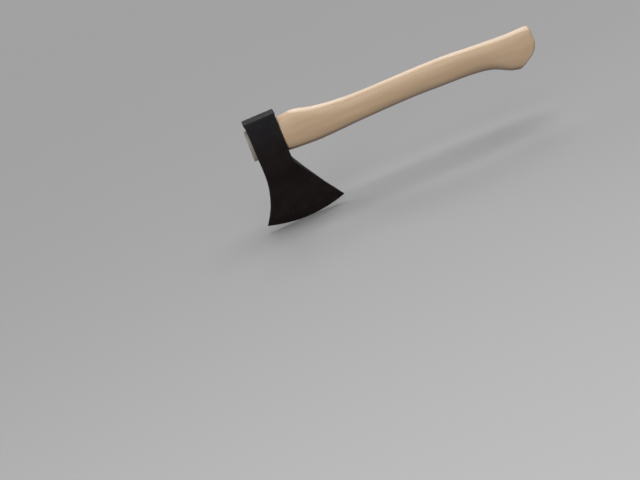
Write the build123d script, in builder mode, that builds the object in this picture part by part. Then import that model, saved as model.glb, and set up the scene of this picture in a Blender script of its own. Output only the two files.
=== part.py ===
from build123d import *
import os

# Hatchet: a forged steel head wedged onto a curved wooden handle.
#
# Frame, in millimetres: +X runs along the handle from the head to the butt, +Z from the cutting edge up
# to the poll, and Y goes across the head. The origin is at the lowest level of the cutting edge, on the
# centre line of the eye and in the plane of symmetry, so the hatchet stands on z = 0.

# Head, seen from the side
head_height = 134.5  # cutting edge to poll
head_depth = 37.3  # front to back of the eye block
poll_flare = 1.5  # how far each end of the poll spreads past the eye block
poll_flare_height = 8.5
edge_chord = 99.0  # toe to heel, straight
edge_radius = 156.8
edge_centre_x = 10.5  # the edge sits towards the handle, which makes the beard
front_straight_to = 68.0  # height where the front side starts to sweep out to the toe
beard_middle = (38.1, 40.7)
beard_top = 73.3
beard_corner_radius = 12.0

# Head, seen from the front
head_thickness = 25.0
cheek_bottom = 80.0  # the cheeks are flat and parallel above this height
waist = (6.6, 52.0)  # half thickness and height where the hollow of the blade ends
blade_half_at_edge = 2.5  # half thickness of the blade if it weren't ground
blade_taper_at_edge = 0.04  # half thickness lost per millimetre there
bevel_middle = (2.04, 6.9)  # half thickness and height on the convex grind
bevel_top = (3.4, 15.0)
edge_flat = 0.6  # width left at the cutting edge
poll_chamfer = 1.0

# Eye and tongue
eye_height = 105.5
eye_entry = (36.0, 17.4)  # long and short way, on the handle's side
eye_exit = (37.6, 19.0)
eye_tip_share = 0.36  # tip radius of the eye's oval, as a share of its width
fit_gap = 0.03  # between the wooden and steel faces that are driven together

# Handle
tongue_end_x = -23.2  # the tongue stands out of the eye's far side
tongue_end_slant = 1.6  # the saw cut across the tongue leans back by this much at its top
tongue_end_chamfer = 1.1
shoulder_rounding = 1.4
rim_rounding = 4.0
handle_tip_share = 0.40

# Stations along the handle: distance, underside height, top height, width
stations = [
    (head_depth / 2, 83.6, 126.1, 22.4),
    (32, 82.3, 127.4, 22.8),
    (45, 81.5, 126.3, 22.8),
    (59, 81.1, 122.5, 22.5),
    (77, 81.5, 119.3, 21.8),
    (100, 82.5, 116.9, 21.1),
    (128, 83.3, 116.0, 20.7),
    (160, 83.9, 115.9, 20.5),
    (192, 83.6, 116.0, 20.6),
    (218, 82.5, 115.6, 21.0),
    (240, 81.8, 114.4, 21.6),
    (258, 80.4, 113.0, 22.5),
    (272, 78.0, 112.1, 23.5),
    (284, 73.5, 111.3, 24.5),
    (293, 68.7, 110.7, 25.2),
    (302, 65.4, 110.3, 25.7),
    (312, 65.6, 110.2, 26.1),
    (324, 67.8, 110.3, 26.4),
    (345, 72.5, 110.6, 26.6),
]
# The butt is cut off by a steep face that turns and slants back to the toe of the knob
butt_top = (333.0, 134.9)
butt_corner = (332.6, 83.5)
butt_toe = (303.0, 60.6)
butt_turn_radius = 20.0

# Wedges
kerf_depth = 33.0  # from the end of the tongue
kerf_mouth_width = 4.8
kerf_bottom_width = 1.4
wedge_length = 29.0
ring_radius = 7.0  # outside
ring_wall = 1.7
ring_tip_wall = 0.5
ring_length = 12.0
ring_end_x = -22.0

overrun = 1.0  # how far cutting shapes and selections reach past the faces they end at

os.makedirs("parts", exist_ok=True)

half_depth = head_depth / 2
half_thickness = head_thickness / 2
toe_x = edge_centre_x - edge_chord / 2
heel_x = edge_centre_x + edge_chord / 2
corner_z = edge_radius - (edge_radius**2 - (edge_chord / 2) ** 2) ** 0.5
end_tilt = (-eye_exit[0], 0, tongue_end_slant)
tongue_end = Plane(origin=(tongue_end_x + tongue_end_slant / 2, 0, eye_height), z_dir=end_tilt)
ring_axis = Axis((0, 0, eye_height), (1, 0, 0))


def oval(plane, height, width, tip_share):
    """A four-centre oval on a YZ plane, upright, with round ends and crowned sides."""
    tip = tip_share * width
    a = height / 2
    b = width / 2
    side = (b**2 + (a - tip) ** 2 - tip**2) / (2 * (b - tip))
    reach = ((side - b) ** 2 + (a - tip) ** 2) ** 0.5
    join_y = tip * (side - b) / reach
    join_z = (a - tip) + tip * (a - tip) / reach
    with BuildSketch(plane) as section:
        with BuildLine():
            ThreePointArc((-join_y, join_z), (0, a), (join_y, join_z))
            ThreePointArc((join_y, join_z), (b, 0), (join_y, -join_z))
            ThreePointArc((join_y, -join_z), (0, -a), (-join_y, -join_z))
            ThreePointArc((-join_y, -join_z), (-b, 0), (-join_y, join_z))
        make_face()
    return section.sketch


def across(x, z):
    """The YZ plane at x, with its origin at height z."""
    return Plane(origin=(x, 0, z), x_dir=(0, 1, 0), z_dir=(1, 0, 0))


def eye_size(x):
    """Height and width of the eye's taper at x, also past its mouths."""
    share = (half_depth - x) / head_depth
    return [start + share * (end - start) for start, end in zip(eye_entry, eye_exit)]


def eye_sections(gap=0.0):
    """The eye's taper from just inside the shoulder to past the end of the tongue, shrunk by a gap."""
    sections = []
    for x in (half_depth + overrun, tongue_end_x - overrun):
        height, width = eye_size(x)
        sections.append(oval(across(x, eye_height), height - 2 * gap, width - 2 * gap, eye_tip_share))
    return sections


def kerf_width(x):
    share = (x - tongue_end_x) / kerf_depth
    return kerf_mouth_width + share * (kerf_bottom_width - kerf_mouth_width)


def kerf_outline(depth, gap=0.0):
    """The kerf, or the wedge in it, seen from the poll: wide at the end of the tongue."""
    mouth_x = tongue_end_x - overrun
    tip_x = tongue_end_x + depth
    mouth = kerf_width(mouth_x) / 2 - gap
    tip = kerf_width(tip_x) / 2 - gap
    with BuildSketch(Plane.XY) as outline:
        with BuildLine():
            Polyline((mouth_x, -mouth), (tip_x, -tip), (tip_x, tip), (mouth_x, mouth), close=True)
        make_face()
    return outline.sketch


def ring_outline(mouth_x, gap=0.0):
    """Half section of the ring wedge, or of its groove: blunt outside, thin at the driven tip."""
    tip_x = ring_end_x + ring_length
    slope = (ring_wall - ring_tip_wall) / ring_length
    middle = eye_height + ring_radius - ring_wall / 2
    mouth = ring_tip_wall / 2 + slope * (tip_x - mouth_x) / 2 + gap
    tip = ring_tip_wall / 2 + gap
    with BuildSketch(Plane.XZ) as outline:
        with BuildLine():
            Polyline(
                (mouth_x, middle - mouth),
                (tip_x + gap, middle - tip),
                (tip_x + gap, middle + tip),
                (mouth_x, middle + mouth),
                close=True,
            )
        make_face()
    return outline.sketch


# Head: the side view run across, trimmed to the front view, then ground along the curved edge
with BuildPart() as head:
    with BuildSketch(Plane.XZ):
        with BuildLine():
            poll_left = (-half_depth - poll_flare, head_height)
            poll_right = (half_depth + poll_flare, head_height)
            flare_bottom = head_height - poll_flare_height
            Line(poll_right, poll_left)
            TangentArc((-half_depth, flare_bottom), poll_left, tangent=(0, 1), tangent_from_first=True)
            Line((-half_depth, flare_bottom), (-half_depth, front_straight_to))
            TangentArc((-half_depth, front_straight_to), (toe_x, corner_z), tangent=(0, -1))
            ThreePointArc((toe_x, corner_z), (edge_centre_x, 0), (heel_x, corner_z))
            ThreePointArc((heel_x, corner_z), beard_middle, (half_depth, beard_top))
            Line((half_depth, beard_top), (half_depth, flare_bottom))
            TangentArc((half_depth, flare_bottom), poll_right, tangent=(0, 1))
        make_face()
    extrude(amount=half_thickness, both=True)
    cross_edges = head.edges().filter_by(Axis.Y)
    throat = cross_edges.filter_by_position(Axis.Z, beard_top - overrun, beard_top + overrun)
    fillet(throat, beard_corner_radius)
    with BuildSketch(Plane.YZ):
        with BuildLine():
            Spline(
                (half_thickness, cheek_bottom),
                waist,
                (blade_half_at_edge, 0),
                tangents=((0, -1), (-blade_taper_at_edge, -1)),
            )
            Polyline((half_thickness, cheek_bottom), (half_thickness, head_height), (0, head_height))
            Line((blade_half_at_edge, 0), (0, 0))
            mirror(about=Plane.YZ)
        make_face()
    extrude(amount=edge_chord, both=True, mode=Mode.INTERSECT)
    with BuildSketch(Plane.YZ.offset(edge_centre_x)):
        with BuildLine():
            Polyline((0, -overrun), (edge_flat / 2, -overrun), (edge_flat / 2, 0))
            ThreePointArc((edge_flat / 2, 0), bevel_middle, bevel_top)
            Polyline(
                bevel_top,
                (head_thickness, 2 * bevel_top[1]),
                (head_thickness, head_height + overrun),
                (0, head_height + overrun),
            )
            mirror(about=Plane.YZ)
        make_face()
    revolve(axis=Axis((edge_centre_x, 0, edge_radius), (0, 1, 0)), mode=Mode.INTERSECT)
    loft(sections=eye_sections(), mode=Mode.SUBTRACT)
    chamfer(head.faces().sort_by(Axis.Z)[-1].edges(), poll_chamfer)
head.part.label = "head"
export_step(head.part, "parts/head.step")

# The wood that fills the eye: tongue and wedge together, sawn off on a slant and eased round its end
with BuildPart(mode=Mode.PRIVATE) as tongue:
    loft(sections=eye_sections(fit_gap))
    split(bisect_by=tongue_end, keep=Keep.BOTTOM)
    chamfer(tongue.faces().sort_by(Axis.X)[0].edges(), tongue_end_chamfer)

# Handle: one run of ovals from the shoulder to the knob, with the tongue on its end
with BuildPart() as handle:
    sections = []
    for x, underside, top, width in stations:
        middle = across(x, (underside + top) / 2)
        sections.append(oval(middle, top - underside, width, handle_tip_share))
    loft(sections=sections)
    with BuildSketch(Plane.XZ):
        with BuildLine():
            FilletPolyline(butt_toe, butt_corner, butt_top, radius=butt_turn_radius)
            Polyline(butt_top, (0, head_height), (0, 0), (butt_toe[0], 0), butt_toe)
        make_face()
    extrude(amount=head_thickness, both=True, mode=Mode.INTERSECT)
    cut_edges = handle.edges(Select.NEW).filter_by(Axis.Y, reverse=True)
    rim = cut_edges.filter_by_position(Axis.X, butt_toe[0] - overrun, stations[-1][0])
    fillet(rim, rim_rounding)
    fillet(handle.faces().sort_by(Axis.X)[0].edges(), shoulder_rounding)
    add(tongue.part)
    extrude(kerf_outline(kerf_depth), amount=head_height, mode=Mode.SUBTRACT)
    revolve(ring_outline(tongue_end_x - overrun, fit_gap), axis=ring_axis, mode=Mode.SUBTRACT)
handle.part.label = "handle"
export_step(handle.part, "parts/handle.step")

# Wooden wedge: the part of the tongue's outline that lies in the kerf
with BuildPart() as wooden_wedge:
    add(tongue.part)
    extrude(kerf_outline(wedge_length, fit_gap), amount=head_height, mode=Mode.INTERSECT)
    revolve(ring_outline(tongue_end_x - overrun, fit_gap), axis=ring_axis, mode=Mode.SUBTRACT)
wooden_wedge.part.label = "wooden_wedge"
export_step(wooden_wedge.part, "parts/wooden_wedge.step")

# Ring wedge: a short steel tube driven into the end grain across the kerf
with BuildPart() as ring_wedge:
    revolve(ring_outline(ring_end_x), axis=ring_axis)
ring_wedge.part.label = "ring_wedge"
export_step(ring_wedge.part, "parts/ring_wedge.step")
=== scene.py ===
import math

import bmesh
import bpy
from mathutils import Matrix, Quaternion, Vector, noise
from mathutils.bvhtree import BVHTree


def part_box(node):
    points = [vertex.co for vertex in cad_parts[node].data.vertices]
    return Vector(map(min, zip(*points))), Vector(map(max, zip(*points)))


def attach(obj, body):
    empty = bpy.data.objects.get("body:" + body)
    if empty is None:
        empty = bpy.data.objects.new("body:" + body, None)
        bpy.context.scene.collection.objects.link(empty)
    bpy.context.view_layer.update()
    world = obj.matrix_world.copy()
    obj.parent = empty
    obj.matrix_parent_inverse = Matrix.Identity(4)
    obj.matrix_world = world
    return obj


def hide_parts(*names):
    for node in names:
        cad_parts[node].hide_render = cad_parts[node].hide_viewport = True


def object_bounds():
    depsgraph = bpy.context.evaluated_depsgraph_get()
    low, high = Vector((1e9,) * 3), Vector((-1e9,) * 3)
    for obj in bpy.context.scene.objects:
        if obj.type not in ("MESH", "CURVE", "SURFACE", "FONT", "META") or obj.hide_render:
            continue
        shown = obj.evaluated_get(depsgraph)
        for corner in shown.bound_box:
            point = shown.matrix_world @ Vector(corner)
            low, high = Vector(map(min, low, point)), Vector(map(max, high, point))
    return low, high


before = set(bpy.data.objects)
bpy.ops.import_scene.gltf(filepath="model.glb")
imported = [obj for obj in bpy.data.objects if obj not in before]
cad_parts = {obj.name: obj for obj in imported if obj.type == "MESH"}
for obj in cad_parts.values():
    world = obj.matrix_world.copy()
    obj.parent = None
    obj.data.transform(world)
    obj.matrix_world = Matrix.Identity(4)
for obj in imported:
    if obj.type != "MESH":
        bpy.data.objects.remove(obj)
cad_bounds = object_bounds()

# Hatchet: a forged head, an ash handle, a wooden wedge and a ring wedge. Lengths are in metres, except
# where mm is said. +X runs along the handle from the head to the butt, +Z from the edge up to the poll.
MM = 0.001

# Camera: a long lens, a little above the hatchet, rolled so that the handle climbs to the right; its
# angles are in degrees
camera_target = Vector((11.65, 0, -33.66)) * MM
camera_distance = 1.807
camera_azimuth = -0.77
camera_elevation = 18.18
camera_roll = 22.78
camera_lens = 85  # mm
camera_sensor = 36  # mm across

# The room's upright leans in this frame, because the hatchet stands on its edge here
room_up = Vector((0.368, -0.025, 0.929))

# Mesh building
weld_distance = 0.004 * MM
crisp_angle = math.radians(38)  # edges that turn more sharply than this are shaded as crisp
off_middle = 0.01 * MM  # rays start this far off the plane of symmetry, clear of its seams

# Handle: how far along it the CAD surface is read, and how finely it is built
underside_end = 304 * MM
top_end = 326 * MM
width_end = 320 * MM
butt_low = 71 * MM
butt_high = 104 * MM
ring_points = 96
tip_share = 0.40  # tip radius of the grip's oval, as a share of its width
grip_margin = 2 * MM
grip_steps = 200
fan_start = 262 * MM  # from here the rings turn, until they lie along the butt's face
fan_steps = 56
fan_rounds = 12
shoulder_gap = 0.05 * MM
shoulder_round = 1.4 * MM
rim_round = 4.0 * MM
rim_steps = 9
butt_dome = 0.6 * MM
butt_shares = (0.92, 0.8, 0.65, 0.5, 0.35, 0.2, 0.08)

# Eye and tongue
eye_tip_share = 0.36
eye_read_share = 0.9  # the CAD eye is read this much of the way out to its mouths
tongue_gap = 0.06 * MM
tongue_ease = 1.0 * MM
tongue_lean = 0.0425  # how much further in the tongue's end is for each step up
tongue_steps = 40
tongue_end_shares = (0.02, 0.2, 0.4, 0.6, 0.8, 0.93)
mouth_ease = 0.9 * MM
mouth_reach = 1.2 * MM
mouth_steps = 24

# Wedges
kerf_depth = 33 * MM
kerf_mouth = 4.8 * MM
kerf_bottom = 1.4 * MM
wedge_proud = 0.25 * MM
wedge_length = 29 * MM
wedge_gap = 0.05 * MM
ring_wall = 1.7 * MM
ring_tip = 0.5 * MM
ring_ease = 0.3 * MM
ring_steps = 6
groove_reach = 2 * MM
groove_gap = 0.06 * MM

# Head: where the CAD surface is read
mouth_y = 11 * MM  # beside the eye's mouth, on the face of the eye block
wall_share = 0.9  # a place in the wall beside the eye, as a share of the way out to the cheek
eye_level = 82 * MM  # above this height, rays along X go through the wall, not the eye
toe_z = 8.6 * MM
sides_end = 133 * MM
edge_margin = 1 * MM
flank_low = 18 * MM
flank_high = 78 * MM
grind_low = 0.1 * MM
grind_high = 8 * MM

# Head: how it is rounded, and how finely it is built
corner_round = 1.3 * MM
corner_share = 0.8  # the most of the half thickness that a corner takes
poll_ease = 1.3 * MM
cheek_blend = 0.6 * MM
grind_blend = 0.12 * MM
end_steps = 4
corner_steps = 6
face_steps = 72
section_rounds = 10
section_rows = 150
edge_seam_insets = (0.32, 0.2, 0.1)  # mm
edge_levels = (0, 0.001, 0.003, 0.006)
poll_insets = (2, 3.5, 5, 7, 9, 11, 12.6)  # mm

# Head: the waves that forging leaves; their lengths are in mm
wave_length = 17
wave_height = 0.22 * MM
ripple_length = 4.5
ripple_height = 0.06 * MM
calm_height = 9 * MM  # the waves fade out over this height above the cutting edge

# Where the looks change: from the first place to the second
stain_from, stain_to = -17 * MM, -18.5 * MM  # along X, past the head
tone_from, tone_to = 85 * MM, 132 * MM  # up the head, from the blade's black to the poll's
wear_from, wear_to = 40 * MM, 120 * MM  # up the head, its corners are rubbed more and more


# Reading the CAD shapes -------------------------------------------------------------------------

def surface_of(node):
    """A search tree over a CAD node's faces."""
    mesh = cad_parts[node].data
    return BVHTree.FromPolygons([v.co for v in mesh.vertices], [p.vertices for p in mesh.polygons])


def touch(tree, start, direction):
    """Where a ray first meets the surface."""
    return tree.ray_cast(Vector(start), Vector(direction))[0]


def curve_through(measure, start, end, steps):
    """A smooth curve through what measure gives at even steps, straight on beyond its ends."""
    values = [measure(start + (end - start) * i / steps) for i in range(steps + 1)]
    values = [2 * values[0] - values[1]] + values + [2 * values[-1] - values[-2]]

    def curve(at):
        place = (at - start) / (end - start) * steps
        i = min(max(math.floor(place), 0), steps - 1)
        t = place - i
        before, a, b, after = values[i:i + 4]
        rise_a, rise_b = (b - before) / 2, (after - a) / 2
        if t < 0:
            return a + rise_a * t
        if t > 1:
            return b + rise_b * (t - 1)
        left = (1 - t) ** 2
        leaving_a = (1 + 2 * t) * left * a + t * left * rise_a
        return leaving_a + t * t * (3 - 2 * t) * b + t * t * (t - 1) * rise_b

    return curve


head_surface = surface_of("head")
handle_surface = surface_of("handle")
head_low, head_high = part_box("head")
ring_low, ring_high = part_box("ring_wedge")
tongue_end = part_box("handle")[0].x
eye_z = (ring_low.z + ring_high.z) / 2
wall_y = wall_share * head_high.y
face_x = touch(head_surface, (1, mouth_y, eye_z), (-1, 0, 0)).x
grip_start = face_x + grip_margin
eye_read = eye_read_share * face_x


def measured_underside(x):
    return touch(handle_surface, (x, off_middle, 0), (0, 0, 1)).z


def measured_top(x):
    return touch(handle_surface, (x, off_middle, 1), (0, 0, -1)).z


def measured_width(x):
    return -2 * touch(handle_surface, (x, -1, (underside(x) + top(x)) / 2), (0, 1, 0)).y


def measured_butt(z):
    return touch(handle_surface, (1, off_middle, z), (-1, 0, 0)).x


def measured_eye_height(x):
    return 2 * (touch(head_surface, (x, 0, eye_z), (0, 0, 1)).z - eye_z)


def measured_eye_width(x):
    return 2 * touch(head_surface, (x, 0, eye_z), (0, 1, 0)).y


def measured_toe_side(z):
    return touch(head_surface, (-1, wall_y if z > eye_level else 0, z), (1, 0, 0)).x


def measured_heel_side(z):
    return touch(head_surface, (1, wall_y if z > eye_level else 0, z), (-1, 0, 0)).x


def measured_edge(x):
    return touch(head_surface, (x, 0, -1), (0, 0, 1)).z


def measured_flank(z):
    return touch(head_surface, ((head_low.x + head_high.x) / 2, 1, z), (0, -1, 0)).y


underside = curve_through(measured_underside, grip_start, underside_end, steps=36)
top = curve_through(measured_top, grip_start, top_end, steps=38)
width = curve_through(measured_width, grip_start, width_end, steps=36)
butt_x = curve_through(measured_butt, butt_low, butt_high, steps=12)
eye_height = curve_through(measured_eye_height, -eye_read, eye_read, steps=2)
eye_width = curve_through(measured_eye_width, -eye_read, eye_read, steps=2)
toe_side = curve_through(measured_toe_side, toe_z, sides_end, steps=42)
heel_side = curve_through(measured_heel_side, toe_z, sides_end, steps=42)
edge_z = curve_through(measured_edge, head_low.x + edge_margin, head_high.x - edge_margin, steps=24)
flank = curve_through(measured_flank, flank_low, flank_high, steps=12)
grind = curve_through(measured_flank, grind_low, grind_high, steps=6)


# Mesh building ----------------------------------------------------------------------------------

def skin(rings, capped=True):
    """A closed mesh over rings of equal length. Its ends are capped, unless they already meet in a seam."""
    bm = bmesh.new()
    rows = [[bm.verts.new(p) for p in ring] for ring in rings]
    for row, following in zip(rows, rows[1:]):
        for i in range(len(row)):
            bm.faces.new((row[i - 1], row[i], following[i], following[i - 1]))
    if capped:
        bm.faces.new(rows[0])
        bm.faces.new(rows[-1])
    bmesh.ops.remove_doubles(bm, verts=bm.verts, dist=weld_distance)
    bmesh.ops.recalc_face_normals(bm, faces=bm.faces)
    return bm


def as_object(name, bm):
    """A smooth-shaded object of the mesh, in the scene."""
    mesh = bpy.data.meshes.new(name)
    bm.to_mesh(mesh)
    bm.free()
    mesh.shade_smooth()
    made = bpy.data.objects.new(name, mesh)
    bpy.context.scene.collection.objects.link(made)
    return made


def cut(piece, cutter, operation="DIFFERENCE"):
    """Takes the cutter's shape out of the piece, or keeps only what lies in it, and deletes the cutter."""
    boolean = piece.modifiers.new("cut", "BOOLEAN")
    boolean.operation = operation
    boolean.solver = "EXACT"
    boolean.object = cutter
    graph = bpy.context.evaluated_depsgraph_get()
    mesh = bpy.data.meshes.new_from_object(piece.evaluated_get(graph))
    piece.modifiers.clear()
    piece.data = mesh
    mesh.set_sharp_from_angle(angle=crisp_angle)
    bpy.data.objects.remove(cutter)


def oval_point(height, width, share, turn):
    """A point of an upright four-centre oval, as (y, z) from its centre; turn goes from 0 to 1."""
    a, b, tip = height / 2, width / 2, share * width
    side = (b * b + (a - tip) ** 2 - tip * tip) / (2 * (b - tip))
    join = math.atan2(a - tip, side - b)
    side_length = side * join
    quarter_length = side_length + tip * (math.pi / 2 - join)
    quarter, run = divmod(turn * 4, 1)
    if quarter % 2:
        run = 1 - run
    run *= quarter_length
    if run < side_length:
        y, z = b - side + side * math.cos(run / side), side * math.sin(run / side)
    else:
        left = (quarter_length - run) / tip
        y, z = tip * math.sin(left), a - tip + tip * math.cos(left)
    return (-y if quarter in (1, 2) else y), (-z if quarter > 1 else z)


def quarter_round(radius, steps=6):
    """(inset, advance) along a quarter circle, from the side face to the end face."""
    for i in range(1, steps + 1):
        angle = math.pi / 2 * i / steps
        yield radius * (1 - math.cos(angle)), radius * math.sin(angle)


# Handle -----------------------------------------------------------------------------------------

def grip_point(x, turn, inset=0.0):
    low, high = underside(x), top(x)
    y, z = oval_point(high - low - 2 * inset, width(x) - 2 * inset, tip_share, turn)
    return Vector((x, y, (low + high) / 2 + z))


def grip_ring(x, inset=0.0):
    return [grip_point(x, i / ring_points, inset) for i in range(ring_points)]


def fanned_ring(share, inset, setback):
    """A ring of the knob: share 0 is square to the handle, share 1 lies along the butt's face."""
    ring = []
    for i in range(ring_points):
        point = grip_point(fan_start, i / ring_points)
        for _ in range(fan_rounds):
            x = fan_start + (butt_x(point.z) - setback - fan_start) * share
            point = grip_point(x, i / ring_points, inset)
        ring.append(point)
    return ring


def eye_ring(x, inset, lean=0.0):
    """A ring of the eye's taper, square to it or leaning like the sawn end of the tongue."""
    tall, wide = eye_height(x) - 2 * inset, eye_width(x) - 2 * inset
    ring = []
    for i in range(ring_points):
        y, z = oval_point(tall, wide, eye_tip_share, i / ring_points)
        ring.append(Vector((x + lean * z, y, eye_z + z)))
    return ring


def tongue_rings():
    """From the middle of the tongue's sawn end to the root of the tongue."""
    middle = tongue_end + tongue_lean * eye_height(tongue_end) / 2
    centre = Vector((middle, 0, eye_z))
    rim = eye_ring(middle, tongue_ease, tongue_lean)
    rings = [[centre + (p - centre) * share for p in rim] for share in tongue_end_shares]
    for inset, advance in reversed(list(quarter_round(tongue_ease))):
        rings.append(eye_ring(middle + tongue_ease - advance, tongue_gap + inset, tongue_lean))
    length = face_x + shoulder_gap - middle - tongue_ease
    for i in range(tongue_steps + 1):
        share = i / tongue_steps
        rings.append(eye_ring(middle + tongue_ease + length * share, tongue_gap, tongue_lean * (1 - share)))
    return rings


def butt_rings(rim):
    """Rings that close the butt, slightly domed, within its rim."""
    middle = sum(rim, Vector()) / ring_points
    rings = []
    for share in butt_shares:
        ring = []
        for p in rim:
            inner = middle + (p - middle) * share
            inner.x = butt_x(inner.z) + butt_dome * (1 - share * share)
            ring.append(inner)
        rings.append(ring)
    return rings


def grip_rings():
    """From the shoulder to the middle of the butt."""
    shoulder = face_x + shoulder_gap
    straight_start = shoulder + shoulder_round
    rings = []
    for inset, advance in reversed(list(quarter_round(shoulder_round))):
        rings.append(grip_ring(straight_start - advance, inset))
    for k in range(grip_steps + 1):
        rings.append(grip_ring(straight_start + (fan_start - straight_start) * k / grip_steps))
    for k in range(1, fan_steps + 1):
        rings.append(fanned_ring(k / fan_steps, 0, rim_round))
    for inset, advance in quarter_round(rim_round, rim_steps):
        rings.append(fanned_ring(1, inset, rim_round - advance))
    return rings + butt_rings(rings[-1])


def make_handle():
    handle = as_object("handle_wood", skin(tongue_rings() + grip_rings()))
    cut(handle, wedge_block(kerf_depth))
    cut(handle, ring_groove())
    return handle


# Wedges -----------------------------------------------------------------------------------------

def wedge_block(depth, shrink=0.0):
    """A tapered slab across the eye, reaching out past the end of the tongue."""
    reach = 3 * MM
    taper = (kerf_bottom - kerf_mouth) / kerf_depth
    tall = eye_height(tongue_end)
    halves = []
    for x in (tongue_end - reach, tongue_end + depth):
        halves.append((x, (kerf_mouth + taper * (x - tongue_end)) / 2 - shrink))
    (mouth_x, mouth), (tip_x, tip) = halves
    outline = [(mouth_x, mouth), (mouth_x, -mouth), (tip_x, -tip), (tip_x, tip)]
    levels = [[Vector((x, y, eye_z + side * tall)) for x, y in outline] for side in (-1, 1)]
    return as_object("slab", skin(levels))


def lathe(profile, steps=72):
    """A ring: a closed (x, radius) outline turned about the middle line of the eye."""
    bm = bmesh.new()
    rows = []
    for i in range(steps):
        angle = 2 * math.pi * i / steps
        across, up = math.cos(angle), math.sin(angle)
        rows.append([bm.verts.new((x, r * across, eye_z + r * up)) for x, r in profile])
    for i, row in enumerate(rows):
        for j in range(len(profile)):
            bm.faces.new((rows[i - 1][j - 1], rows[i - 1][j], row[j], row[j - 1]))
    bmesh.ops.recalc_face_normals(bm, faces=bm.faces)
    return bm


def ring_profile(mouth_x, gap=0.0):
    """The tube's wall: blunt at the mouth, thin at the driven tip."""
    tip_x = ring_high.x
    middle = (ring_high.z - ring_low.z) / 2 - ring_wall / 2
    slope = (ring_wall - ring_tip) / (ring_high.x - ring_low.x)
    mouth = (ring_tip + slope * (tip_x - mouth_x)) / 2 + gap
    tip = ring_tip / 2 + gap
    eased_x = mouth_x + ring_ease

    def wall(side):
        """One face of the wall, from the mouth's eased rim towards the tip."""
        points = []
        for i in range(ring_steps):
            share = i / ring_steps
            radius = middle + side * (mouth + (tip - mouth) * share)
            points.append((eased_x + (tip_x - eased_x) * share, radius))
        return points

    outer, inner = wall(1), wall(-1)
    end = [(mouth_x, middle - mouth + ring_ease), (mouth_x, middle), (mouth_x, middle + mouth - ring_ease)]
    driven = [(tip_x + gap, middle + tip), (tip_x + gap, middle - tip)]
    return inner[:1] + end + outer + driven + inner[:0:-1]


def ring_groove():
    return as_object("groove", lathe(ring_profile(tongue_end - groove_reach, groove_gap)))


def make_wooden_wedge():
    """The wedge is driven into the kerf, along the long way of the eye, and stands a little proud."""
    wedge = as_object("wedge_wood", skin(tongue_rings()))
    for v in wedge.data.vertices:
        v.co.x -= wedge_proud
    cut(wedge, wedge_block(wedge_length, wedge_gap), "INTERSECT")
    cut(wedge, ring_groove())
    return wedge


def make_ring_wedge():
    return as_object("ring_steel", lathe(ring_profile(ring_low.x)))


# Head -------------------------------------------------------------------------------------------

def soft_min(a, b, reach):
    """The lesser of two, rounded where they come within reach of each other."""
    overlap = max(reach - abs(a - b), 0) / reach
    return min(a, b) - overlap * overlap * reach / 4


def half_thickness(x, z):
    side = soft_min(flank(z), head_high.y, cheek_blend)
    return soft_min(side, grind(z - edge_z(x)), grind_blend)


def section_place(level, across, offset):
    """Where a section runs in the side view: across 0 is the toe's side of the head, 1 the heel's."""
    z = level * head_high.z + (1 - level) * toe_z
    for _ in range(section_rounds):
        x = toe_side(z) * (1 - across) + heel_side(z) * across + offset
        z = level * head_high.z + (1 - level) * edge_z(x)
    return x, z


def corner_at(level, across, inset):
    """The radius that there is room for at a corner of a section."""
    inwards = 1 - 2 * across
    x, z = section_place(level, across, inwards * edge_margin)
    return min(corner_round, corner_share * max(half_thickness(x, z) - inset, 0))


def corner_stops(across, inset, radius):
    """From the middle of a section's narrow end to its corner and round it.

    A stop is how far across it is, its offset along X, how far it lies below the flat side, and its share
    of the thickness there.
    """
    inwards = 1 - 2 * across
    stops = [(across, inwards * inset, radius, k / end_steps) for k in range(1, end_steps)]
    for k in range(corner_steps):
        angle = math.pi / 2 * k / corner_steps
        offset = inwards * (inset + radius * (1 - math.cos(angle)))
        stops.append((across, offset, radius * (1 - math.sin(angle)), 1))
    return stops


def side_stops(inset, toe_corner, heel_corner):
    """Along a section's side, from one corner to the other."""
    stops = []
    for k in range(face_steps + 1):
        share = k / face_steps
        stops.append((share, (inset + toe_corner) * (1 - share) - (inset + heel_corner) * share, 0, 1))
    return stops


def head_ring(level, inset=0.0):
    """A section of the head: level 0 follows the cutting edge, level 1 is level with the poll."""
    toe_corner, heel_corner = corner_at(level, 0, inset), corner_at(level, 1, inset)
    half = corner_stops(0, inset, toe_corner) + side_stops(inset, toe_corner, heel_corner)
    half += corner_stops(1, inset, heel_corner)[::-1]
    ring = []
    for side in (1, -1):
        x, z = section_place(level, 0 if side == 1 else 1, inset * side)
        ring.append(Vector((x, 0, z)))
        for across, offset, drop, share in half[::side]:
            x, z = section_place(level, across, offset)
            point = Vector((x, side * max(half_thickness(x, z) - inset - drop, 0), z))
            point.y *= share
            ring.append(point)
    return ring


def head_rings():
    """From the seam inside the cutting edge to the seam across the poll."""
    rings = [head_ring(0, inset * MM) for inset in edge_seam_insets]
    rings += [head_ring(level) for level in edge_levels]
    lowest = edge_levels[-1]
    highest = 1 - poll_ease / head_high.z
    for k in range(1, section_rows + 1):
        rings.append(head_ring(lowest + (highest - lowest) * k / section_rows))
    for inset, advance in quarter_round(poll_ease):
        rings.append(head_ring(highest + advance / head_high.z, inset))
    rings += [head_ring(1, inset * MM) for inset in poll_insets]
    return rings


def eye_cutter():
    """The eye, wider at its two mouths so that their rims are eased."""
    steepest = 0.999 * mouth_ease  # just short of where the eased rim would stand square
    rings = []
    for i in range(-mouth_steps, mouth_steps + 1):
        x = i / mouth_steps * (face_x + mouth_reach)
        into_mouth = min(max(abs(x) - (face_x - mouth_ease), 0), steepest)
        widen = mouth_ease - math.sqrt(mouth_ease ** 2 - into_mouth ** 2)
        rings.append(eye_ring(x, -widen))
    return as_object("eye_cutter", skin(rings))


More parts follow.
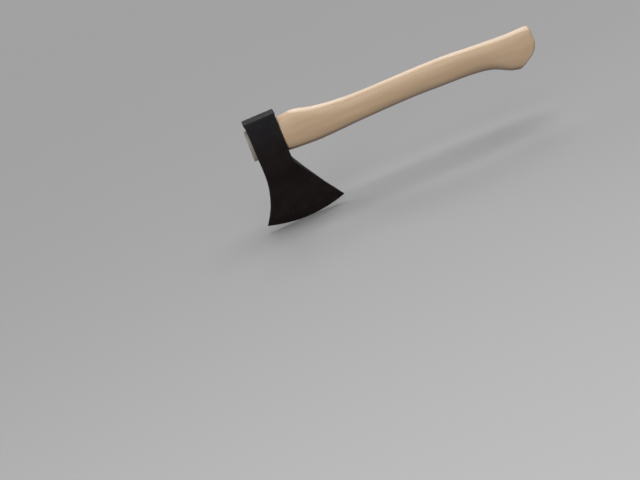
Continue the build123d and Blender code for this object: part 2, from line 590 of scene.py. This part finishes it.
def forge(piece):
    """Leaves the slight waves of forging on the faces, none at the cutting edge."""
    ripple_shift = Vector((9, 2, 5))
    moves = []
    for v in piece.data.vertices:
        p = v.co / MM
        wave = wave_height * noise.noise(p / wave_length)
        wave += ripple_height * noise.noise(p / ripple_length + ripple_shift)
        calm = min(max((v.co.z - edge_z(v.co.x)) / calm_height, 0), 1)
        moves.append(v.co + v.normal * wave * calm)
    for v, moved in zip(piece.data.vertices, moves):
        v.co = moved


def make_head():
    head = as_object("head_forging", skin(head_rings(), capped=False))
    forge(head)
    cut(head, eye_cutter())
    return head


# Materials --------------------------------------------------------------------------------------

class Shader:
    """A node material, put together one node at a time."""

    def __init__(self, name):
        self.material = bpy.data.materials.new(name)
        self.material.use_nodes = True
        self.tree = self.material.node_tree
        self.surface = self.tree.nodes["Principled BSDF"]
        self.place = self.tree.nodes.new("ShaderNodeTexCoord").outputs["Object"]

    def node(self, kind, inputs, **settings):
        made = self.tree.nodes.new("ShaderNode" + kind)
        for key, value in settings.items():
            setattr(made, key, value)
        for key, value in inputs.items():
            self.feed(made.inputs[key], value)
        return made

    def feed(self, socket, value):
        if isinstance(value, bpy.types.NodeSocket):
            self.tree.links.new(value, socket)
        else:
            socket.default_value = value

    def scaled(self, x, y, z, shift=(0, 0, 0)):
        """The place on the piece, counted in steps of x, y and z millimetres."""
        scale = (1 / (x * MM), 1 / (y * MM), 1 / (z * MM))
        return self.node("Mapping", {"Vector": self.place, "Scale": scale, "Location": shift}).outputs[0]

    def geometry(self, output):
        return self.node("NewGeometry", {}).outputs[output]

    def axes(self, vector):
        return self.node("SeparateXYZ", {0: vector}).outputs

    def noise(self, vector, detail=2.0, roughness=0.5):
        inputs = {"Vector": vector, "Scale": 1.0, "Detail": detail, "Roughness": roughness}
        return self.node("TexNoise", inputs).outputs["Fac"]

    def ramp(self, value, low, high, to_low=0.0, to_high=1.0):
        inputs = {"Value": value, "From Min": low, "From Max": high, "To Min": to_low, "To Max": to_high}
        return self.node("MapRange", inputs, interpolation_type="SMOOTHSTEP").outputs[0]

    def math(self, operation, a, b=0.0):
        return self.node("Math", {0: a, 1: b}, operation=operation).outputs[0]

    def mix(self, factor, a, b):
        made = self.node("Mix", {}, data_type="RGBA")
        self.feed(made.inputs[0], factor)
        self.feed(made.inputs[6], a)
        self.feed(made.inputs[7], b)
        return made.outputs[2]

    def bump(self, height, distance, strength, normal=None):
        inputs = {"Height": height, "Distance": distance, "Strength": strength}
        if normal:
            inputs["Normal"] = normal
        return self.node("Bump", inputs).outputs[0]

    def surface_is(self, **inputs):
        for key, value in inputs.items():
            self.feed(self.surface.inputs[key.replace("_", " ")], value)
        return self.material


def rgb(red, green, blue):
    return (red, green, blue, 1.0)


def growth_rings(shader):
    """How far into the early wood of a growth ring a place is, from 0 to 1."""
    wave = shader.node(
        "TexWave",
        {
            "Vector": shader.scaled(60, 1, 1, shift=(0, 38, 71)),
            "Scale": 0.12,
            "Distortion": 3.2,
            "Detail": 2.0,
            "Detail Scale": 0.3,
        },
        wave_type="RINGS",
        rings_direction="X",
        wave_profile="SAW",
    )
    return shader.ramp(wave.outputs["Fac"], 0.45, 1.0)


def wood(name, pale, dark, end_tone, sheen, belly_shade=0.0, stain=None):
    """Straight-grained wood whose fibres run along X, with pores in the early wood of each ring.

    sheen is how much oil is left on it, belly is how much painted shade darkens the faces that look down,
    standing in for the shade under the handle, and stain is the tone of the end past the head.
    """
    # painted shade: the dark brown that the faces looking down are mixed towards
    painted_shade_tone = rgb(0.10, 0.06, 0.04)
    stained_rings = rgb(0.11, 0.085, 0.065)
    shader = Shader(name)
    early = growth_rings(shader)
    fibre = shader.noise(shader.scaled(26, 0.28, 0.28), detail=3.0, roughness=0.6)
    pores = shader.noise(shader.scaled(5, 0.16, 0.16, shift=(3, 1, 7)), detail=1.0)
    tone = shader.noise(shader.scaled(90, 9, 9, shift=(1, 5, 2)))
    pore_mask = shader.math("MULTIPLY", shader.ramp(pores, 0.58, 0.68), shader.math("ADD", early, 0.15))
    colour = shader.mix(shader.math("MULTIPLY", early, 0.28), pale, dark)
    colour = shader.mix(shader.ramp(fibre, 0.3, 0.75, 0.0, 0.24), colour, dark)
    colour = shader.mix(shader.ramp(tone, 0.35, 0.65, 0.0, 0.42), colour, dark)
    colour = shader.mix(shader.math("MULTIPLY", pore_mask, 0.45), colour, end_tone)
    along, _, up = shader.axes(shader.geometry("Normal"))
    end_grain = shader.ramp(shader.math("ABSOLUTE", along), 0.72, 0.97, 0.0, 0.30)
    colour = shader.mix(end_grain, colour, end_tone)
    # painted shade: the more a face looks down, the darker it is made, standing in for the shade under the
    # handle
    if belly_shade:
        colour = shader.mix(shader.ramp(up, -0.15, -0.85, 0.0, belly_shade), colour, painted_shade_tone)
    if stain:
        ring_mask = shader.math("ADD", shader.math("MULTIPLY", early, 0.35), pore_mask)
        stained = shader.mix(ring_mask, stain, stained_rings)
        past_head = shader.ramp(shader.axes(shader.place)[0], stain_from, stain_to, 0.0, 0.85)
        colour = shader.mix(past_head, colour, stained)
    return shader.surface_is(
        Base_Color=colour,
        Roughness=shader.ramp(fibre, 0.3, 0.8, 0.42, 0.58),
        Normal=shader.bump(shader.math("SUBTRACT", fibre, pore_mask), 0.05 * MM, 0.6),
        Coat_Weight=sheen,
        Coat_Roughness=0.32,
    )


def black_steel():
    """Black paint over forged scale, rubbed at its corners."""
    shader = Shader("black_steel")
    blotch = shader.noise(shader.scaled(14, 14, 14), detail=4.0, roughness=0.6)
    scale = shader.noise(shader.scaled(1.6, 1.6, 1.6, shift=(4, 0, 1)), detail=4.0, roughness=0.65)
    grain = shader.noise(shader.scaled(0.35, 0.35, 0.35))
    height = shader.axes(shader.place)[2]
    patches = shader.ramp(blotch, 0.35, 0.7)
    blade_tone = shader.mix(patches, rgb(0.0085, 0.0056, 0.0056), rgb(0.0125, 0.0086, 0.0082))
    poll_tone = shader.mix(patches, rgb(0.0125, 0.0118, 0.0138), rgb(0.0172, 0.0160, 0.0178))
    colour = shader.mix(shader.ramp(height, tone_from, tone_to), blade_tone, poll_tone)
    colour = shader.mix(shader.ramp(scale, 0.55, 0.8, 0.0, 0.5), colour, rgb(0.021, 0.017, 0.0165))
    corner = shader.ramp(shader.geometry("Pointiness"), 0.505, 0.555)
    worn = shader.math("MULTIPLY", corner, shader.ramp(scale, 0.40, 0.62, 0.15, 1.0))
    worn = shader.math("MULTIPLY", worn, shader.ramp(height, wear_from, wear_to, 0.4, 1.0))
    colour = shader.mix(worn, colour, rgb(0.055, 0.053, 0.052))
    patch_rough = shader.ramp(blotch, 0.3, 0.7, 0.40, 0.68)
    scale_rough = shader.ramp(scale, 0.3, 0.8, -0.06, 0.10)
    scale_bump = shader.bump(scale, 0.25 * MM, 0.6)
    return shader.surface_is(
        Base_Color=colour,
        Roughness=shader.math("ADD", patch_rough, scale_rough),
        Normal=shader.bump(grain, 0.04 * MM, 0.5, scale_bump),
        Specular_IOR_Level=0.07,
    )


def bright_steel():
    """Drawn steel tube, its end scored by the hammer."""
    shader = Shader("bright_steel")
    marks = shader.noise(shader.scaled(2.5, 0.3, 0.3), detail=3.0)
    return shader.surface_is(
        Base_Color=shader.mix(shader.ramp(marks, 0.3, 0.7), rgb(0.32, 0.32, 0.33), rgb(0.5, 0.5, 0.51)),
        Roughness=shader.ramp(marks, 0.3, 0.7, 0.32, 0.5),
        Normal=shader.bump(marks, 0.03 * MM, 0.6),
        Metallic=1.0,
    )


def floor_paint():
    shader = Shader("floor_paint")
    return shader.surface_is(Base_Color=rgb(0.272, 0.271, 0.274), Roughness=0.9)


ash = wood(
    "handle_wood",
    pale=rgb(0.535, 0.376, 0.228),
    dark=rgb(0.38, 0.251, 0.142),
    end_tone=rgb(0.255, 0.172, 0.112),
    sheen=0.8,
    # painted shade on the handle's downward faces
    belly_shade=0.9,
    stain=rgb(0.215, 0.208, 0.196),
)
beech = wood(
    "wedge_wood",
    pale=rgb(0.33, 0.235, 0.155),
    dark=rgb(0.225, 0.155, 0.10),
    end_tone=rgb(0.18, 0.125, 0.09),
    sheen=0.0,
)


# The hatchet ------------------------------------------------------------------------------------

def finish_piece(piece, node, material):
    """Gives the piece its material and puts it in the place of its CAD node."""
    piece.data.materials.clear()
    piece.data.materials.append(material)
    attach(piece, "root")
    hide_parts(node)


finish_piece(make_head(), "head", black_steel())
finish_piece(make_handle(), "handle", ash)
finish_piece(make_wooden_wedge(), "wooden_wedge", beech)
finish_piece(make_ring_wedge(), "ring_wedge", bright_steel())


# Stage, lights and camera -----------------------------------------------------------------------

def make_floor(reach):
    bm = bmesh.new()
    bmesh.ops.create_grid(bm, x_segments=1, y_segments=1, size=reach)
    floor = as_object("floor", bm)
    floor.data.materials.append(floor_paint())


def add_lamp(name, light, turn):
    lamp = bpy.data.objects.new(name, light)
    lamp.rotation_mode = "QUATERNION"
    lamp.rotation_quaternion = turn
    bpy.context.scene.collection.objects.link(lamp)
    return lamp


def sunlight(name, source, strength, softness):
    """Even light from one side of the room; softness is its width in degrees."""
    light = bpy.data.lights.new(name, "SUN")
    light.energy = strength
    light.angle = math.radians(softness)
    add_lamp(name, light, source.to_track_quat("Z", "Y"))


def softbox(name, offset, size, power, aim=Vector()):
    """A square area light; its place and its aim are counted from the hatchet's middle."""
    light = bpy.data.lights.new(name, "AREA")
    light.size = size
    light.energy = power
    lamp = add_lamp(name, light, (aim - offset).to_track_quat("-Z", "Y"))
    lamp.location = (cad_bounds[0] + cad_bounds[1]) / 2 + offset


def room_light(horizon, overhead):
    """Pale walls all round, darker overhead."""
    world = bpy.data.worlds.new("room")
    bpy.context.scene.world = world
    world.use_nodes = True
    nodes, links = world.node_tree.nodes, world.node_tree.links
    height = nodes.new("ShaderNodeSeparateXYZ")
    links.new(nodes.new("ShaderNodeTexCoord").outputs["Generated"], height.inputs[0])
    fade = nodes.new("ShaderNodeMapRange")
    fade.interpolation_type = "SMOOTHSTEP"
    fade.inputs["From Min"].default_value = 0.3
    fade.inputs["From Max"].default_value = 0.8
    fade.inputs["To Min"].default_value = horizon
    fade.inputs["To Max"].default_value = overhead
    links.new(height.outputs["Z"], fade.inputs["Value"])
    links.new(fade.outputs[0], nodes["Background"].inputs["Strength"])
    nodes["Background"].inputs["Color"].default_value = rgb(1, 1, 1)


def make_camera():
    azimuth, elevation = math.radians(camera_azimuth), math.radians(camera_elevation)
    level = math.cos(elevation)
    back = Vector((math.sin(azimuth) * level, -math.cos(azimuth) * level, math.sin(elevation)))
    camera = bpy.data.objects.new("camera", bpy.data.cameras.new("camera"))
    camera.data.lens = camera_lens
    camera.data.sensor_width = camera_sensor
    camera.location = camera_target + back * camera_distance
    camera.rotation_mode = "QUATERNION"
    aim = (-back).to_track_quat("-Z", "Y")
    camera.rotation_quaternion = aim @ Quaternion((0, 0, 1), -math.radians(camera_roll))
    bpy.context.scene.collection.objects.link(camera)
    bpy.context.scene.camera = camera


make_floor(reach=12.0)
sunlight("key", source=room_up + Vector((0, 0.16, 0)), strength=2.6, softness=50)
sunlight("rim", source=Vector((0.2, 1, 0.9)), strength=0.6, softness=24)
sunlight("side", source=Vector((-1, 0.9, 0.55)), strength=0.6, softness=24)
softbox("fill", offset=Vector((-1.1, -1.9, 0.4)), size=0.9, power=15)
softbox("wash", offset=Vector((0.1, -1.3, 0.9)), size=1.3, power=9, aim=Vector((0.1, -1.3, 0)))
room_light(horizon=0.38, overhead=0.10)
bpy.context.scene.view_settings.view_transform = "Standard"
make_camera()
